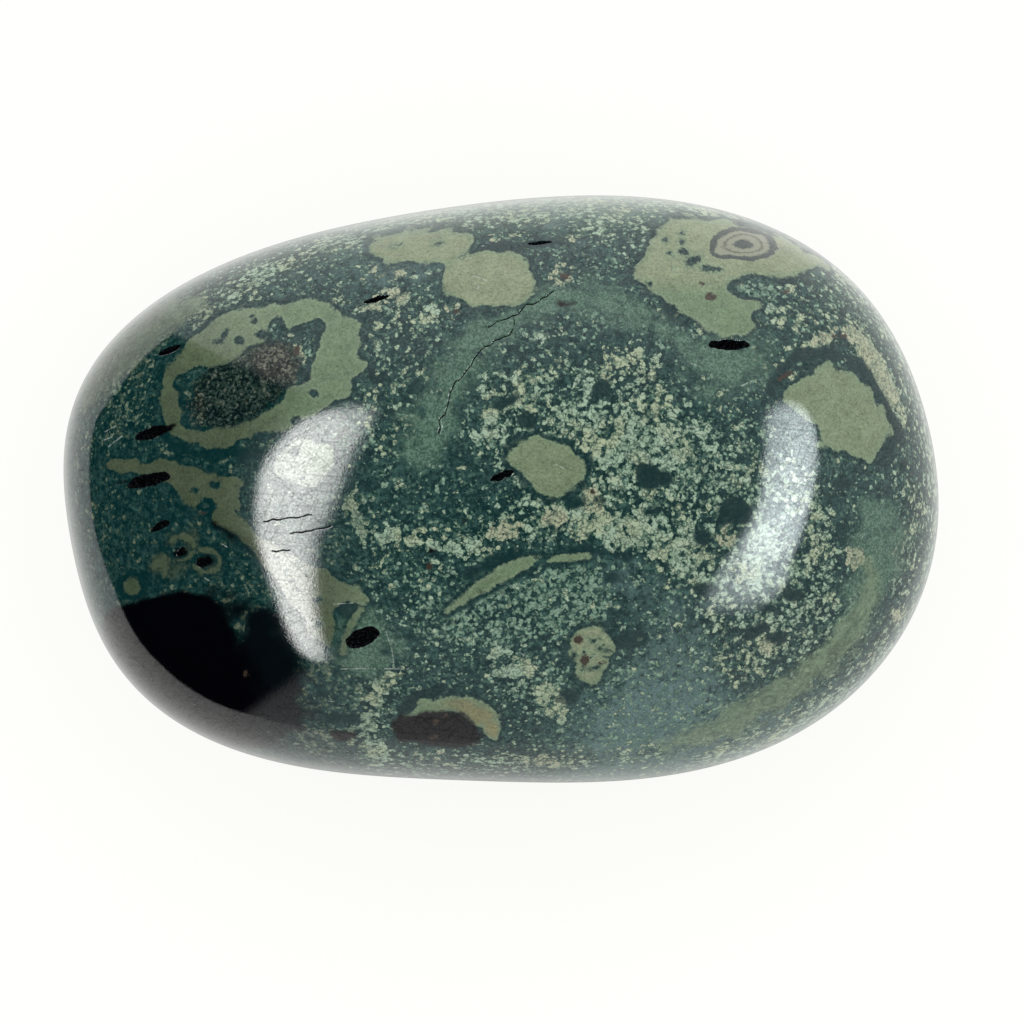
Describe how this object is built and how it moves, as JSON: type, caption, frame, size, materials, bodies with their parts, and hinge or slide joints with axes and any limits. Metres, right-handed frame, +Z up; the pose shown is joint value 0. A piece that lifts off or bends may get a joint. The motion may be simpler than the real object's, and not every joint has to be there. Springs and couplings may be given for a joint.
{
  "type": "tumbled stone",
  "caption": "Polished tumbled pebble of green orbicular stone with open pits, a rounded oblong that lies on a small flat spot.",
  "frame": {"origin": "under the middle of the pebble, on the surface that its flat spot rests on", "axes": "+X along the pebble's length, +Y across it, +Z up"},
  "size_m": [0.045, 0.0302, 0.024],
  "materials": {
    "polished_stone": "polished"
  },
  "bodies": {
    "root": {"stone": "polished_stone"}
  },
  "joints": []
}
